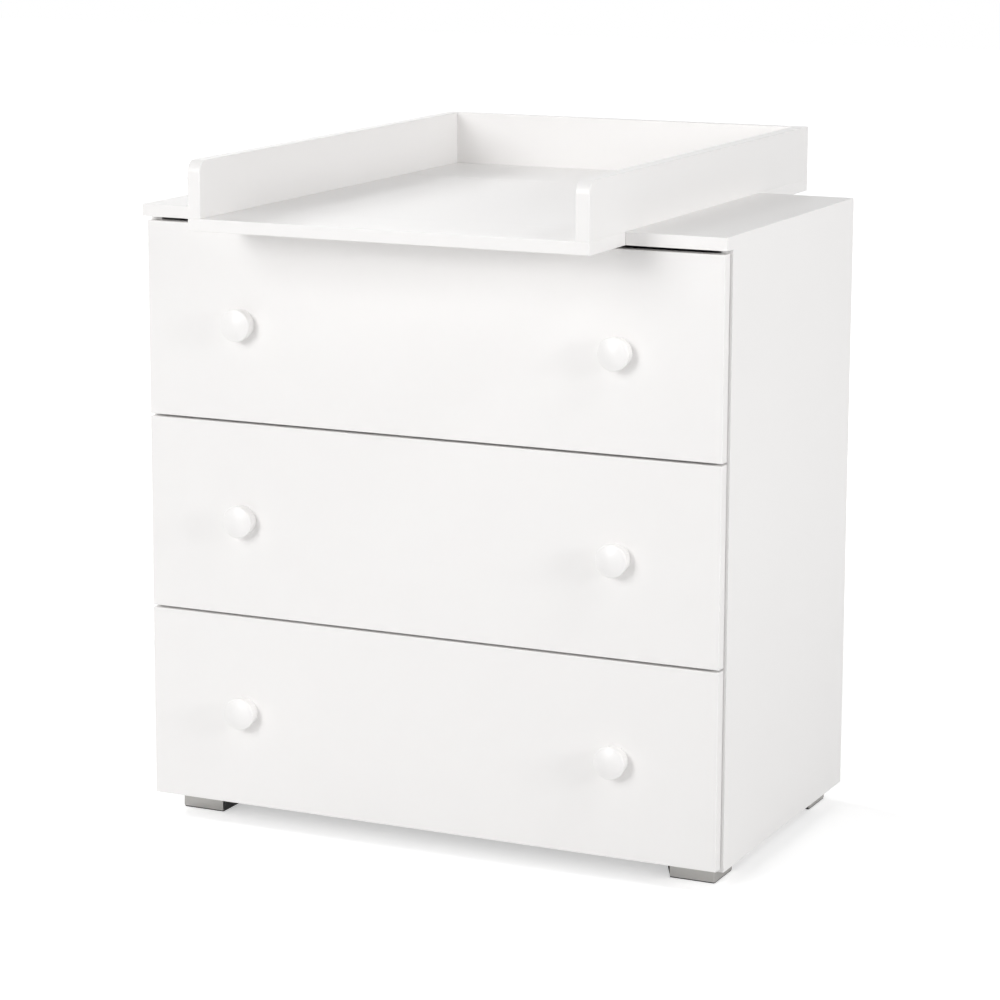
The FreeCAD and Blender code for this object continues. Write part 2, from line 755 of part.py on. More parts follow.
os.makedirs("parts", exist_ok=True)
write_chest()
write_channels()
for level in range(drawer_count):
    write_drawer(level)
write_tray()
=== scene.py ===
import json
import math

import bmesh
import bpy
from bpy.props import FloatProperty, FloatVectorProperty, IntProperty, PointerProperty
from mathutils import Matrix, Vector


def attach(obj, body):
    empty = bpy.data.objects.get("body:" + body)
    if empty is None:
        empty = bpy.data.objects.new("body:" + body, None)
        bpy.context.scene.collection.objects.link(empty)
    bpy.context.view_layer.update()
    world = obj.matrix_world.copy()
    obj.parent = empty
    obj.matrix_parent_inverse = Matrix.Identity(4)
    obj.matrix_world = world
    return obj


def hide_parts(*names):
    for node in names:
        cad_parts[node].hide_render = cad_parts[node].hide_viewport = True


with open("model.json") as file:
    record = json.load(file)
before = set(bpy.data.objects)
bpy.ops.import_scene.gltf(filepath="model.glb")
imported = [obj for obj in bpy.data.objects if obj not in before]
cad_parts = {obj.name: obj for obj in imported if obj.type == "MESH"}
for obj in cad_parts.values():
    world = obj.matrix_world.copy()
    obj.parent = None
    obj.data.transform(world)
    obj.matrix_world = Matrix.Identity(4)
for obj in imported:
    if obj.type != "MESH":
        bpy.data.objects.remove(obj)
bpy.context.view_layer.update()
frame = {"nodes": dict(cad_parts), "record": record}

bl_info = {
    "name": "Changing Dresser",
    "version": (1, 0, 0),
    "blender": (4, 5, 0),
    "location": "View3D > Sidebar > Dresser",
    "description": "Dresses a chest of drawers with a changing top: finishes, knobs, screws and studio",
    "category": "Object",
}

BODIES = frame["record"]["behaviour"]["bodies"]
BODY_OF = {node: body for body, nodes in BODIES.items() for node in nodes}
LEVELS = ("top", "middle", "bottom")
MM = 0.001
SHARP_EDGE = math.radians(32)
SCREW_CORE = 1.4 * MM
SCREW_HEAD = 3.85 * MM
SUNK_HEAD_HEIGHT = 2.3 * MM
PAN_HEAD_HEIGHT = 1.8 * MM
FLOOR_REACH = 14.0
LAMP_AIM = Vector((0, -0.1, 0.5))
LAMP_DISTANCE = 4.5


# ---------------------------------------------------------------- sizes and colours
class BoardFinish(bpy.types.PropertyGroup):
    white: FloatVectorProperty(
        name="White", description="Colour of the melamine face", subtype="COLOR", size=3, min=0, max=1,
        default=(0.908, 0.896, 0.887))
    edge_white: FloatVectorProperty(
        name="Edge", description="Colour of the banded edges", subtype="COLOR", size=3, min=0, max=1,
        default=(0.902, 0.890, 0.881))
    roughness: FloatProperty(
        name="Roughness", description="Gloss of the melamine, 0 for a mirror", default=0.34, min=0.05, max=1)
    pearl_size: FloatProperty(
        name="Pearl", description="Size of the fine pearl texture pressed into the melamine",
        default=1.4 * MM, min=0.2 * MM, unit="LENGTH")
    pearl_depth: FloatProperty(
        name="Pearl depth", description="Depth of the pearl texture", default=0.008 * MM, min=0,
        unit="LENGTH")


class KnobForm(bpy.types.PropertyGroup):
    colour: FloatVectorProperty(
        name="Colour", description="Colour of the knobs", subtype="COLOR", size=3, min=0, max=1,
        default=(0.912, 0.901, 0.893))
    base_radius: FloatProperty(
        name="Base radius", description="Radius on the drawer front", default=18.8 * MM, unit="LENGTH")
    waist_radius: FloatProperty(
        name="Waist radius", description="Smallest radius of the side", default=18.2 * MM, unit="LENGTH")
    rim_radius: FloatProperty(
        name="Rim radius", description="Largest radius, at the rim", default=21.0 * MM, unit="LENGTH")
    rim_height: FloatProperty(
        name="Rim height", description="Front edge of the rim over the drawer front", default=18.5 * MM,
        unit="LENGTH")
    rim_round: FloatProperty(
        name="Rim rounding", description="Radius of the rounding of the rim", default=2.6 * MM, unit="LENGTH")
    height: FloatProperty(
        name="Height", description="Middle of the face over the drawer front", default=22.5 * MM,
        unit="LENGTH")
    steps: IntProperty(name="Steps", description="Flat sides of the turned knob", default=96, min=24, max=160)


class ScrewForm(bpy.types.PropertyGroup):
    zinc: FloatVectorProperty(
        name="Zinc", description="Colour of the zinc plating", subtype="COLOR", size=3, min=0, max=1,
        default=(0.66, 0.67, 0.69))
    pitch: FloatProperty(
        name="Pitch", description="Height of one turn of the thread", default=1.8 * MM, min=0.5 * MM,
        unit="LENGTH")
    thread_depth: FloatProperty(
        name="Thread depth", description="How far the thread stands out of the core", default=0.6 * MM,
        unit="LENGTH")
    recess_width: FloatProperty(
        name="Recess width", description="Width of each arm of the cross recess", default=0.9 * MM,
        unit="LENGTH")
    recess_span: FloatProperty(
        name="Recess span", description="Length of the arms from end to end", default=4.4 * MM, unit="LENGTH")
    seed: IntProperty(name="Seed", description="Turns the recesses at random", default=7, min=0)


class MetalFinish(bpy.types.PropertyGroup):
    foot: FloatVectorProperty(
        name="Feet", description="Colour of the brushed feet", subtype="COLOR", size=3, min=0, max=1,
        default=(0.49, 0.48, 0.464))
    brush_size: FloatProperty(
        name="Brush lines", description="Width of the brushed lines", default=0.35 * MM, min=0.05 * MM,
        unit="LENGTH")
    powder: FloatVectorProperty(
        name="Runners", description="Colour of the powder-coated runners", subtype="COLOR", size=3, min=0,
        max=1, default=(0.80, 0.80, 0.79))


class Studio(bpy.types.PropertyGroup):
    front_low: FloatProperty(
        name="Front, low", description="Power of the low lamp in front, a little to the left", default=39.5,
        min=0)
    front_high: FloatProperty(
        name="Front, high", description="Power of the wide lamp above, which makes the changing top's shadow",
        default=51.5, min=0)
    left: FloatProperty(
        name="Left", description="Power of the lamp on the left", default=26.5, min=0)
    left_rear: FloatProperty(
        name="Left, rear", description="Power of the lamp farther round on the left", default=57.5, min=0)
    rear: FloatProperty(
        name="Rear", description="Power of the lamp behind, which glances off the top", default=8.5, min=0)
    right_low: FloatProperty(
        name="Right, low", description="Power of the low lamp on the right-hand side", default=52.5, min=0)
    right_high: FloatProperty(
        name="Right, high", description="Power of the high lamp on the right-hand side", default=31.0, min=0)
    right_rear: FloatProperty(
        name="Right, rear", description="Power of the lamp farther round on the right", default=15.5, min=0)
    sky: FloatProperty(
        name="Sky", description="Strength of the even light from all sides", default=0.27, min=0)
    floor_glow: FloatProperty(
        name="Floor glow", description="White that the camera sees in the floor beside its lit colour",
        default=0.45, min=0, max=1)
    floor_mirrored: FloatProperty(
        name="Mirrored floor", description="Share of that white that shows in reflections", default=0.45,
        min=0, max=1)


def settings():
    return bpy.context.scene.dresser


class Dresser(bpy.types.PropertyGroup):
    boards: PointerProperty(type=BoardFinish, name="Boards", description="Melamine boards")
    knobs: PointerProperty(type=KnobForm, name="Knobs", description="Turned knobs")
    screws: PointerProperty(type=ScrewForm, name="Screws", description="Screws of all kinds")
    metal: PointerProperty(type=MetalFinish, name="Metal", description="Feet and runners")
    studio: PointerProperty(type=Studio, name="Studio", description="Lights")


# ---------------------------------------------------------------- materials
class Finish:
    """A node material with its Principled shader and short calls to add nodes and links."""

    def __init__(self, name, roughness, metallic=0.0):
        self.material = bpy.data.materials.new(name)
        self.material.use_nodes = True
        self.nodes = self.material.node_tree.nodes
        self.links = self.material.node_tree.links
        self.shader = self.nodes["Principled BSDF"]
        self.shader.inputs["Roughness"].default_value = roughness
        self.shader.inputs["Metallic"].default_value = metallic

    def add(self, kind, **values):
        node = self.nodes.new(kind)
        for key, value in values.items():
            setattr(node, key, value)
        return node

    def place(self, scale=(1, 1, 1)):
        """Object coordinates, stretched by scale."""
        coordinates = self.add("ShaderNodeTexCoord")
        mapping = self.add("ShaderNodeMapping")
        mapping.inputs["Scale"].default_value = scale
        self.links.new(coordinates.outputs["Object"], mapping.inputs["Vector"])
        return mapping.outputs["Vector"]

    def noise(self, vector, scale, detail=2.0, roughness=0.5):
        node = self.add("ShaderNodeTexNoise")
        node.inputs["Scale"].default_value = scale
        node.inputs["Detail"].default_value = detail
        node.inputs["Roughness"].default_value = roughness
        self.links.new(vector, node.inputs["Vector"])
        return node.outputs["Fac"]

    def spread(self, value, low, high):
        """Spreads the middle of a noise, where nearly all of it lies, from low to high."""
        node = self.add("ShaderNodeMapRange")
        node.inputs["From Min"].default_value = 0.3
        node.inputs["From Max"].default_value = 0.7
        node.inputs["To Min"].default_value = low
        node.inputs["To Max"].default_value = high
        self.links.new(value, node.inputs["Value"])
        return node.outputs["Result"]

    def tint(self, factor, first, second):
        """Colour between first and second."""
        node = self.add("ShaderNodeMix", data_type="RGBA")
        self.links.new(factor, node.inputs["Factor"])
        node.inputs["A"].default_value = (*first, 1)
        node.inputs["B"].default_value = (*second, 1)
        return node.outputs["Result"]

    def colour(self, output):
        self.links.new(output, self.shader.inputs["Base Color"])

    def rough(self, output):
        self.links.new(output, self.shader.inputs["Roughness"])

    def bump(self, height, depth):
        node = self.add("ShaderNodeBump")
        node.inputs["Strength"].default_value = 1.0
        node.inputs["Distance"].default_value = depth
        self.links.new(height, node.inputs["Height"])
        self.links.new(node.outputs["Normal"], self.shader.inputs["Normal"])


def shade(colour, factor):
    return tuple(channel * factor for channel in colour)


def melamine(name, colour):
    """Satin melamine: a fine pearl texture, and a faint change of tone and gloss."""
    boards = settings().boards
    finish = Finish(name, boards.roughness)
    vector = finish.place()
    cloud = finish.noise(vector, 4.0, 3.0)
    finish.colour(finish.tint(cloud, shade(colour, 0.992), shade(colour, 1.006)))
    pearl = finish.noise(vector, 1 / boards.pearl_size, 2.0, 0.6)
    finish.rough(finish.spread(pearl, boards.roughness - 0.03, boards.roughness + 0.05))
    finish.bump(pearl, boards.pearl_depth)
    return finish.material


def hardboard():
    """Thin white-lacquered hardboard with a fibrous texture."""
    finish = Finish("white_hardboard", 0.55)
    fibre = finish.noise(finish.place((260, 260, 260)), 1.0, 6.0, 0.65)
    cloud = finish.noise(finish.place(), 6.0, 3.0)
    finish.colour(finish.tint(cloud, (0.78, 0.78, 0.765), (0.83, 0.83, 0.82)))
    finish.rough(finish.spread(fibre, 0.5, 0.68))
    finish.bump(fibre, 0.05 * MM)
    return finish.material


def lacquer():
    """Smooth lacquer of the knobs, with the faint ripple that spraying leaves."""
    colour = settings().knobs.colour
    finish = Finish("white_knob", 0.36)
    ripple = finish.noise(finish.place(), 140.0, 0.0)
    finish.colour(finish.tint(ripple, shade(colour, 0.998), shade(colour, 1.002)))
    finish.rough(finish.spread(ripple, 0.34, 0.4))
    finish.bump(ripple, 0.01 * MM)
    finish.shader.inputs["Coat Weight"].default_value = 0.12
    finish.shader.inputs["Coat Roughness"].default_value = 0.2
    return finish.material


def brushed_steel():
    """Steel brushed along the floor: long fine lines in colour, gloss and bump."""
    metal = settings().metal
    finish = Finish("brushed_foot", 0.36, 1.0)
    across = 1 / metal.brush_size
    along = across * 0.03
    lines = finish.noise(finish.place((along, along, across)), 1.0, 4.0, 0.7)
    cloud = finish.noise(finish.place(), 45.0, 2.0)
    finish.colour(finish.tint(lines, shade(metal.foot, 0.84), shade(metal.foot, 1.12)))
    finish.rough(finish.spread(cloud, 0.3, 0.44))
    finish.bump(lines, 0.03 * MM)
    finish.shader.inputs["Anisotropic"].default_value = 0.5
    return finish.material


def near_black_blocks():
    """Near-black material of the foot blocks, with a fine grain in gloss and bump."""
    finish = Finish("dark_glide", 0.5)
    grain = finish.noise(finish.place(), 1500.0, 2.0)
    # Colour near black, so the blocks show black wherever they stand on the feet, inner faces too.
    finish.colour(finish.tint(grain, (0.018, 0.018, 0.02), (0.03, 0.03, 0.032)))
    finish.rough(finish.spread(grain, 0.45, 0.62))
    finish.bump(grain, 0.03 * MM)
    return finish.material


def powder_coat():
    """White powder coat with its orange-peel surface."""
    colour = settings().metal.powder
    finish = Finish("white_runner", 0.4)
    peel = finish.noise(finish.place(), 520.0, 3.0)
    finish.colour(finish.tint(peel, shade(colour, 0.97), shade(colour, 1.01)))
    finish.rough(finish.spread(peel, 0.34, 0.48))
    finish.bump(peel, 0.06 * MM)
    return finish.material


def nylon():
    """Off-white nylon of the rollers, rubbed on the tread."""
    finish = Finish("nylon_roller", 0.42)
    rub = finish.noise(finish.place((1, 700, 700)), 1.0, 3.0)
    finish.colour(finish.tint(rub, (0.70, 0.70, 0.66), (0.78, 0.78, 0.74)))
    finish.rough(finish.spread(rub, 0.34, 0.52))
    finish.bump(rub, 0.02 * MM)
    finish.shader.inputs["Subsurface Weight"].default_value = 0.1
    finish.shader.inputs["Subsurface Radius"].default_value = (0.002, 0.002, 0.0018)
    return finish.material


def zinc_plate():
    """Bright zinc plating, clouded by handling."""
    zinc = settings().screws.zinc
    finish = Finish("zinc_screw", 0.3, 1.0)
    cloud = finish.noise(finish.place(), 420.0, 4.0, 0.6)
    finish.colour(finish.tint(cloud, shade(zinc, 0.86), shade(zinc, 1.08)))
    finish.rough(finish.spread(cloud, 0.24, 0.42))
    finish.bump(cloud, 0.015 * MM)
    return finish.material


def die_cast():
    """Die-cast zinc of the cams: dull, with a fine cast skin."""
    finish = Finish("zinc_cam", 0.5, 1.0)
    skin = finish.noise(finish.place(), 900.0, 4.0, 0.7)
    finish.colour(finish.tint(skin, (0.36, 0.36, 0.37), (0.50, 0.50, 0.51)))
    finish.rough(finish.spread(skin, 0.42, 0.62))
    finish.bump(skin, 0.05 * MM)
    return finish.material


def beech():
    """Plain beech with short dark rays."""
    finish = Finish("beech_dowel", 0.6)
    grain = finish.noise(finish.place((260, 260, 260)), 1.0, 5.0, 0.6)
    rays = finish.noise(finish.place((900, 900, 160)), 1.0, 2.0)
    finish.colour(finish.tint(grain, (0.46, 0.30, 0.17), (0.64, 0.46, 0.29)))
    finish.rough(finish.spread(rays, 0.52, 0.7))
    finish.bump(rays, 0.06 * MM)
    return finish.material


def paint(material, *nodes):
    """Gives CAD nodes their finish."""
    for node in nodes:
        materials = frame["nodes"][node].data.materials
        materials.clear()
        materials.append(material)


def drawer_nodes(*kinds):
    return ["drawer_%s_%s" % (level, kind) for level in LEVELS for kind in kinds]


# ---------------------------------------------------------------- reading the frame
def solids_of(node):
    """Points of each separate solid of a CAD node, with the solids in the same order each run."""
    mesh = bmesh.new()
    mesh.from_mesh(frame["nodes"][node].data)
    bmesh.ops.remove_doubles(mesh, verts=mesh.verts, dist=1e-6)
    left = set(mesh.verts)
    solids = []
    for first in mesh.verts:
        if first not in left:
            continue
        left.remove(first)
        stack = [first]
        found = [first.co.copy()]
        while stack:
            for edge in stack.pop().link_edges:
                for vertex in edge.verts:
                    if vertex in left:
                        left.remove(vertex)
                        stack.append(vertex)
                        found.append(vertex.co.copy())
        solids.append(found)
    mesh.free()
    if not solids:
        raise RuntimeError("no solids in " + node)
    return solids


def corners(points):
    """Lowest and highest corner of the box around some points."""
    low = Vector([min(point[axis] for point in points) for axis in range(3)])
    high = Vector([max(point[axis] for point in points) for axis in range(3)])
    return low, high


def screw_places(node):
    """Head centre, direction of the shank and length of each screw of a node."""
    places = []
    for points in solids_of(node):
        low, high = corners(points)
        size = high - low
        axis = max(range(3), key=lambda index: size[index])
        middle = (low + high) / 2
        near_low = [point for point in points if point[axis] < low[axis] + size[axis] * 0.1]
        near_high = [point for point in points if point[axis] > high[axis] - size[axis] * 0.1]

        def reach(some):
            return max((point - middle).length_squared - (point[axis] - middle[axis]) ** 2 for point in some)

        way = Vector((0, 0, 0))
        way[axis] = 1 if reach(near_low) > reach(near_high) else -1
        head = middle.copy()
        head[axis] = low[axis] if way[axis] > 0 else high[axis]
        places.append((head, way, size[axis]))
    return places


# ---------------------------------------------------------------- making pieces
def new_piece(name, mesh, node):
    """A piece that takes the place of a CAD node and rides on the node's body."""
    piece = bpy.data.objects.new(name, mesh)
    bpy.context.scene.collection.objects.link(piece)
    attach(piece, BODY_OF[node])
    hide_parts(node)


def plain_mesh(maker, name):
    """Turns what a node modifier makes into a mesh, and clears the maker away."""
    bpy.context.view_layer.update()
    graph = bpy.context.evaluated_depsgraph_get()
    mesh = bpy.data.meshes.new_from_object(maker.evaluated_get(graph), preserve_all_data_layers=True,
                                           depsgraph=graph)
    mesh.name = name
    maker.modifiers.clear()
    points = maker.data
    bpy.data.objects.remove(maker)
    bpy.data.meshes.remove(points)
    if not mesh.polygons:
        raise RuntimeError("nothing was made for " + name)
    return mesh


def point_cloud(name, places):
    """Loose points, each with the direction that its copy looks along."""
    mesh = bpy.data.meshes.new(name)
    mesh.from_pydata([place for place, way in places], [], [])
    ways = mesh.attributes.new("way", "FLOAT_VECTOR", "POINT")
    for item, (_, way) in zip(ways.data, places):
        item.vector = way
    maker = bpy.data.objects.new(name, mesh)
    bpy.context.scene.collection.objects.link(maker)
    return maker


class Tree:
    """A Geometry Nodes tree with named inputs."""

    def __init__(self, name):
        self.group = bpy.data.node_groups.new(name, "GeometryNodeTree")
        self.group.interface.new_socket("Geometry", in_out="INPUT", socket_type="NodeSocketGeometry")
        self.group.interface.new_socket("Geometry", in_out="OUTPUT", socket_type="NodeSocketGeometry")
        self.start = self.group.nodes.new("NodeGroupInput")
        self.end = self.group.nodes.new("NodeGroupOutput")

    def wants(self, name, kind):
        socket = self.group.interface.new_socket(name, in_out="INPUT", socket_type="NodeSocket" + kind)
        if kind == "Float":
            socket.subtype = "ANGLE" if "Angle" in name else "DISTANCE"
        return self.start.outputs[name]

    def add(self, kind, values=None, **settings_of_node):
        """Node with its settings, and its sockets set to values or linked to outputs."""
        node = self.group.nodes.new(kind)
        for key, value in settings_of_node.items():
            setattr(node, key, value)
        for key, value in (values or {}).items():
            if isinstance(value, bpy.types.NodeSocket):
                self.group.links.new(value, node.inputs[key])
            else:
                node.inputs[key].default_value = value
        return node

    def math(self, operation, first, second):
        node = self.add("ShaderNodeMath", {0: first, 1: second}, operation=operation)
        return node.outputs[0]

    def along(self, height):
        return self.add("ShaderNodeCombineXYZ", {"Z": height}).outputs[0]

    def moved(self, geometry, offset, turn=None):
        values = {"Geometry": geometry, "Translation": offset}
        if turn is not None:
            values["Rotation"] = turn
        return self.add("GeometryNodeTransform", values).outputs[0]

    def joined(self, *geometries):
        node = self.group.nodes.new("GeometryNodeJoinGeometry")
        for geometry in reversed(geometries):
            self.group.links.new(geometry, node.inputs[0])
        return node.outputs[0]

    def finish(self, copy, seed=None):
        """Puts a copy on every point, turned along its way, and ends the tree."""
        way = self.add("GeometryNodeInputNamedAttribute", {"Name": "way"}, data_type="FLOAT_VECTOR")
        turn = self.add("FunctionNodeAlignRotationToVector", {"Vector": way.outputs["Attribute"]}, axis="Z")
        spread = self.add("GeometryNodeInstanceOnPoints", {
            "Points": self.start.outputs["Geometry"], "Instance": copy, "Rotation": turn.outputs[0]})
        result = spread.outputs[0]
        if seed is not None:
            angle = self.add("FunctionNodeRandomValue", {"Seed": seed}, data_type="FLOAT")
            angle.inputs[3].default_value = 2 * math.pi
            spin = self.add("ShaderNodeCombineXYZ", {"Z": angle.outputs[1]})
            result = self.add("GeometryNodeRotateInstances", {
                "Instances": result, "Rotation": spin.outputs[0]}).outputs[0]
        real = self.add("GeometryNodeRealizeInstances", {"Geometry": result}).outputs[0]
        dressed = self.add("GeometryNodeSetMaterial", {
            "Geometry": real, "Material": self.start.outputs["Material"]}).outputs[0]
        self.group.links.new(dressed, self.end.inputs["Geometry"])
        return self.group


def run_tree(maker, group, values, name):
    """Applies a tree to loose points with its inputs set, and gives the mesh."""
    modifier = maker.modifiers.new("rule", "NODES")
    modifier.node_group = group
    for item in group.interface.items_tree:
        if item.item_type == "SOCKET" and item.in_out == "INPUT" and item.name in values:
            modifier[item.identifier] = values[item.name]
    return plain_mesh(maker, name)


def curve_tree():
    """Tree that shades bent and turned faces smoothly and leaves flat faces and sharp edges as they are."""
    tree = Tree("smooth_curves")
    steepest = tree.wants("Sharp Angle", "Float")
    whole = tree.add("GeometryNodeMergeByDistance", {
        "Geometry": tree.start.outputs["Geometry"], "Distance": 0.001 * MM}).outputs[0]
    normal = tree.add("GeometryNodeInputNormal").outputs[0]
    size = tree.add("ShaderNodeVectorMath", {0: normal}, operation="ABSOLUTE").outputs[0]
    parts = tree.add("ShaderNodeSeparateXYZ", {"Vector": size})
    largest = tree.math("MAXIMUM", tree.math("MAXIMUM", parts.outputs[0], parts.outputs[1]), parts.outputs[2])
    curved = tree.math("LESS_THAN", largest, 0.9998)
    smooth = tree.add("GeometryNodeSetShadeSmooth", {
        "Geometry": whole, "Selection": curved, "Shade Smooth": True}, domain="FACE").outputs[0]
    angle = tree.add("GeometryNodeInputMeshEdgeAngle").outputs["Unsigned Angle"]
    sharp = tree.math("GREATER_THAN", angle, steepest)
    edged = tree.add("GeometryNodeSetShadeSmooth", {
        "Geometry": smooth, "Selection": sharp, "Shade Smooth": False}, domain="EDGE").outputs[0]
    tree.group.links.new(edged, tree.end.inputs["Geometry"])
    return tree.group


def screw_tree(countersunk):
    """Tree for screws: a head with a cross recess, a core, a tip and a thread wound on a spiral."""
    tree = Tree("screws_countersunk" if countersunk else "screws_pan")
    length = tree.wants("Length", "Float")
    core = tree.wants("Core Radius", "Float")
    head = tree.wants("Head Radius", "Float")
    height = tree.wants("Head Height", "Float")
    pitch = tree.wants("Pitch", "Float")
    depth = tree.wants("Thread Depth", "Float")
    arm = tree.wants("Recess Width", "Float")
    span = tree.wants("Recess Span", "Float")
    tree.wants("Material", "Material")
    seed = tree.wants("Seed", "Int")

    if countersunk:
        cap = tree.add("GeometryNodeMeshCone", {
            "Vertices": 32, "Radius Bottom": head, "Radius Top": core, "Depth": height}).outputs["Mesh"]
    else:
        crown = tree.math("MULTIPLY", head, 0.82)
        lower = tree.add("GeometryNodeMeshCylinder", {
            "Vertices": 32, "Radius": head, "Depth": tree.math("MULTIPLY", height, 0.5)}).outputs["Mesh"]
        upper = tree.add("GeometryNodeMeshCone", {
            "Vertices": 32, "Radius Bottom": crown, "Radius Top": head,
            "Depth": tree.math("MULTIPLY", height, 0.5)}).outputs["Mesh"]
        lifted = tree.moved(lower, tree.along(tree.math("MULTIPLY", height, 0.75)))
        cap = tree.joined(upper, lifted)
    deep = tree.math("MULTIPLY", height, 0.62)
    bar = tree.add("GeometryNodeMeshCube", {
        "Size": tree.add("ShaderNodeCombineXYZ", {
            "X": span, "Y": arm, "Z": tree.math("MULTIPLY", deep, 2.0)}).outputs[0]}).outputs["Mesh"]
    quarter_turn = (0, 0, math.pi / 2)
    cross = tree.joined(bar, tree.moved(bar, (0, 0, 0), quarter_turn))
    cap = tree.add("GeometryNodeMeshBoolean", {"Mesh 1": cap, "Mesh 2": cross}, operation="DIFFERENCE",
                   solver="EXACT").outputs[0]

    tip = tree.math("MULTIPLY", core, 2.2)
    straight = tree.math("SUBTRACT", tree.math("SUBTRACT", length, height), tip)
    shank = tree.add("GeometryNodeMeshCylinder", {
        "Vertices": 24, "Radius": core, "Depth": straight}).outputs["Mesh"]
    shank_middle = tree.math("ADD", height, tree.math("MULTIPLY", straight, 0.5))
    point = tree.add("GeometryNodeMeshCone", {
        "Vertices": 24, "Radius Bottom": core, "Radius Top": 0.1 * MM, "Depth": tip}).outputs["Mesh"]
    tip_start = tree.math("SUBTRACT", length, tip)

    wound = tree.math("SUBTRACT", straight, pitch)
    turns = tree.math("DIVIDE", wound, pitch)
    spiral = tree.add("GeometryNodeCurveSpiral", {
        "Resolution": 20, "Rotations": turns, "Start Radius": core, "End Radius": core, "Height": wound})
    section = tree.add("GeometryNodeCurvePrimitiveCircle", {"Resolution": 3, "Radius": depth})
    thread = tree.add("GeometryNodeCurveToMesh", {
        "Curve": spiral.outputs[0], "Profile Curve": section.outputs[0], "Fill Caps": True}).outputs[0]
    thread_start = tree.math("ADD", height, tree.math("MULTIPLY", pitch, 0.5))

    copy = tree.joined(cap, tree.moved(shank, tree.along(shank_middle)),
                       tree.moved(point, tree.along(tip_start)),
                       tree.moved(thread, tree.along(thread_start)))
    return tree.finish(copy, seed)


def make_screws(node, head_height, group, material):
    """Replaces the plain screws of a CAD node by screws from a tree."""
    form = settings().screws
    places = screw_places(node)
    maker = point_cloud("points_" + node, [(head, way) for head, way, length in places])
    values = {
        "Length": places[0][2], "Core Radius": SCREW_CORE, "Head Radius": SCREW_HEAD,
        "Head Height": head_height, "Pitch": form.pitch, "Thread Depth": form.thread_depth,
        "Recess Width": form.recess_width, "Recess Span": form.recess_span, "Material": material,
        "Seed": form.seed,
    }
    mesh = run_tree(maker, group, values, node + "_detail")
    new_piece(node + "_detail", mesh, node)


def knob_profile(form):
    """Radius and height of the turned knob, from the drawer front to the middle of the face."""
    line = []
    slope_end = form.rim_height - form.rim_round
    for step in range(13):
        share = step / 12
        bow = 4 * share * (1 - share)
        radius = form.base_radius + (form.rim_radius - form.base_radius) * share ** 2
        line.append((radius - (form.base_radius - form.waist_radius) * bow * (1 - share), slope_end * share))
    centre = form.rim_radius - form.rim_round
    for step in range(1, 9):
        angle = math.pi / 2 * step / 8
        line.append((centre + form.rim_round * math.cos(angle), slope_end + form.rim_round * math.sin(angle)))
    rise = form.height - form.rim_height
    dome = (centre ** 2 + rise ** 2) / (2 * rise)
    for step in range(1, 11):
        radius = centre * (1 - step / 10)
        line.append((radius, form.height - dome + math.sqrt(dome ** 2 - radius ** 2)))
    return line


def turned_mesh(name, profile, steps):
    """Closed solid turned about Z from a profile that ends on the axis."""
    mesh = bmesh.new()
    rings = []
    for radius, height in profile[:-1]:
        rings.append([mesh.verts.new((radius * math.cos(2 * math.pi * step / steps),
                                      radius * math.sin(2 * math.pi * step / steps), height))
                      for step in range(steps)])
    top = mesh.verts.new((0, 0, profile[-1][1]))
    for low, high in zip(rings, rings[1:]):
        for step in range(steps):
            after = (step + 1) % steps
            mesh.faces.new((low[step], low[after], high[after], high[step]))
    for step in range(steps):
        mesh.faces.new((rings[-1][step], rings[-1][(step + 1) % steps], top))
    mesh.faces.new(list(reversed(rings[0])))
    for face in mesh.faces:
        face.smooth = len(face.verts) < 5
    data = bpy.data.meshes.new(name)
    mesh.to_mesh(data)
    mesh.free()
    return data


# ---------------------------------------------------------------- operators
class DRESSER_OT_boards(bpy.types.Operator):
    """Gives the boards of chest, drawers and changing top their white melamine"""
    bl_idname = "dresser.boards"
    bl_label = "Boards"

    def execute(self, context):
        boards = settings().boards
        face = melamine("white_board", boards.white)
        edge = melamine("white_edge", boards.edge_white)
        paint(face, "side_panel_left", "side_panel_right", "top_panel", "bottom_panel")
        paint(face, "tray_front_board", "tray_rear_board", "tray_back_board")
        paint(edge, "tray_rail_left", "tray_rail_right")
        paint(face, *drawer_nodes("front", "side_left", "side_right", "back"))
        paint(hardboard(), "back_panel", *drawer_nodes("bottom"))
        return {"FINISHED"}


class DRESSER_OT_feet(bpy.types.Operator):
    """Gives the metal corners of the feet their brushed steel and the blocks their near-black finish"""
    bl_idname = "dresser.feet"
    bl_label = "Feet"

    def execute(self, context):
        paint(brushed_steel(), "foot_front_left", "foot_front_right", "foot_rear_left", "foot_rear_right")
        paint(near_black_blocks(), "foot_glides")
        return {"FINISHED"}


class DRESSER_OT_runners(bpy.types.Operator):
    """Gives the roller runners their powder coat and nylon"""
    bl_idname = "dresser.runners"
    bl_label = "Runners"

    def execute(self, context):
        paint(powder_coat(), "cabinet_runners_left", "cabinet_runners_right", *drawer_nodes("runners"))
        paint(nylon(), *["cabinet_rollers_" + level for level in LEVELS], *drawer_nodes("rollers"))
        return {"FINISHED"}


class DRESSER_OT_curves(bpy.types.Operator):
    """Shades the bent sheet, the rollers, the feet and the rails' noses smoothly"""
    bl_idname = "dresser.curves"
    bl_label = "Smooth curves"

    def execute(self, context):
        group = curve_tree()
        angle = next(item.identifier for item in group.interface.items_tree if item.name == "Sharp Angle")
        nodes = ["tray_rail_left", "tray_rail_right", "cabinet_runners_left", "cabinet_runners_right",
                 "foot_front_left", "foot_front_right", "foot_rear_left", "foot_rear_right", "foot_glides",
                 "cam_housings", "cam_bolts", "chest_dowels",
                 *["cabinet_rollers_" + level for level in LEVELS],
                 *drawer_nodes("runners", "rollers", "dowels")]
        for node in nodes:
            modifier = frame["nodes"][node].modifiers.new("smooth_curves", "NODES")
            modifier.node_group = group
            modifier[angle] = SHARP_EDGE
        return {"FINISHED"}


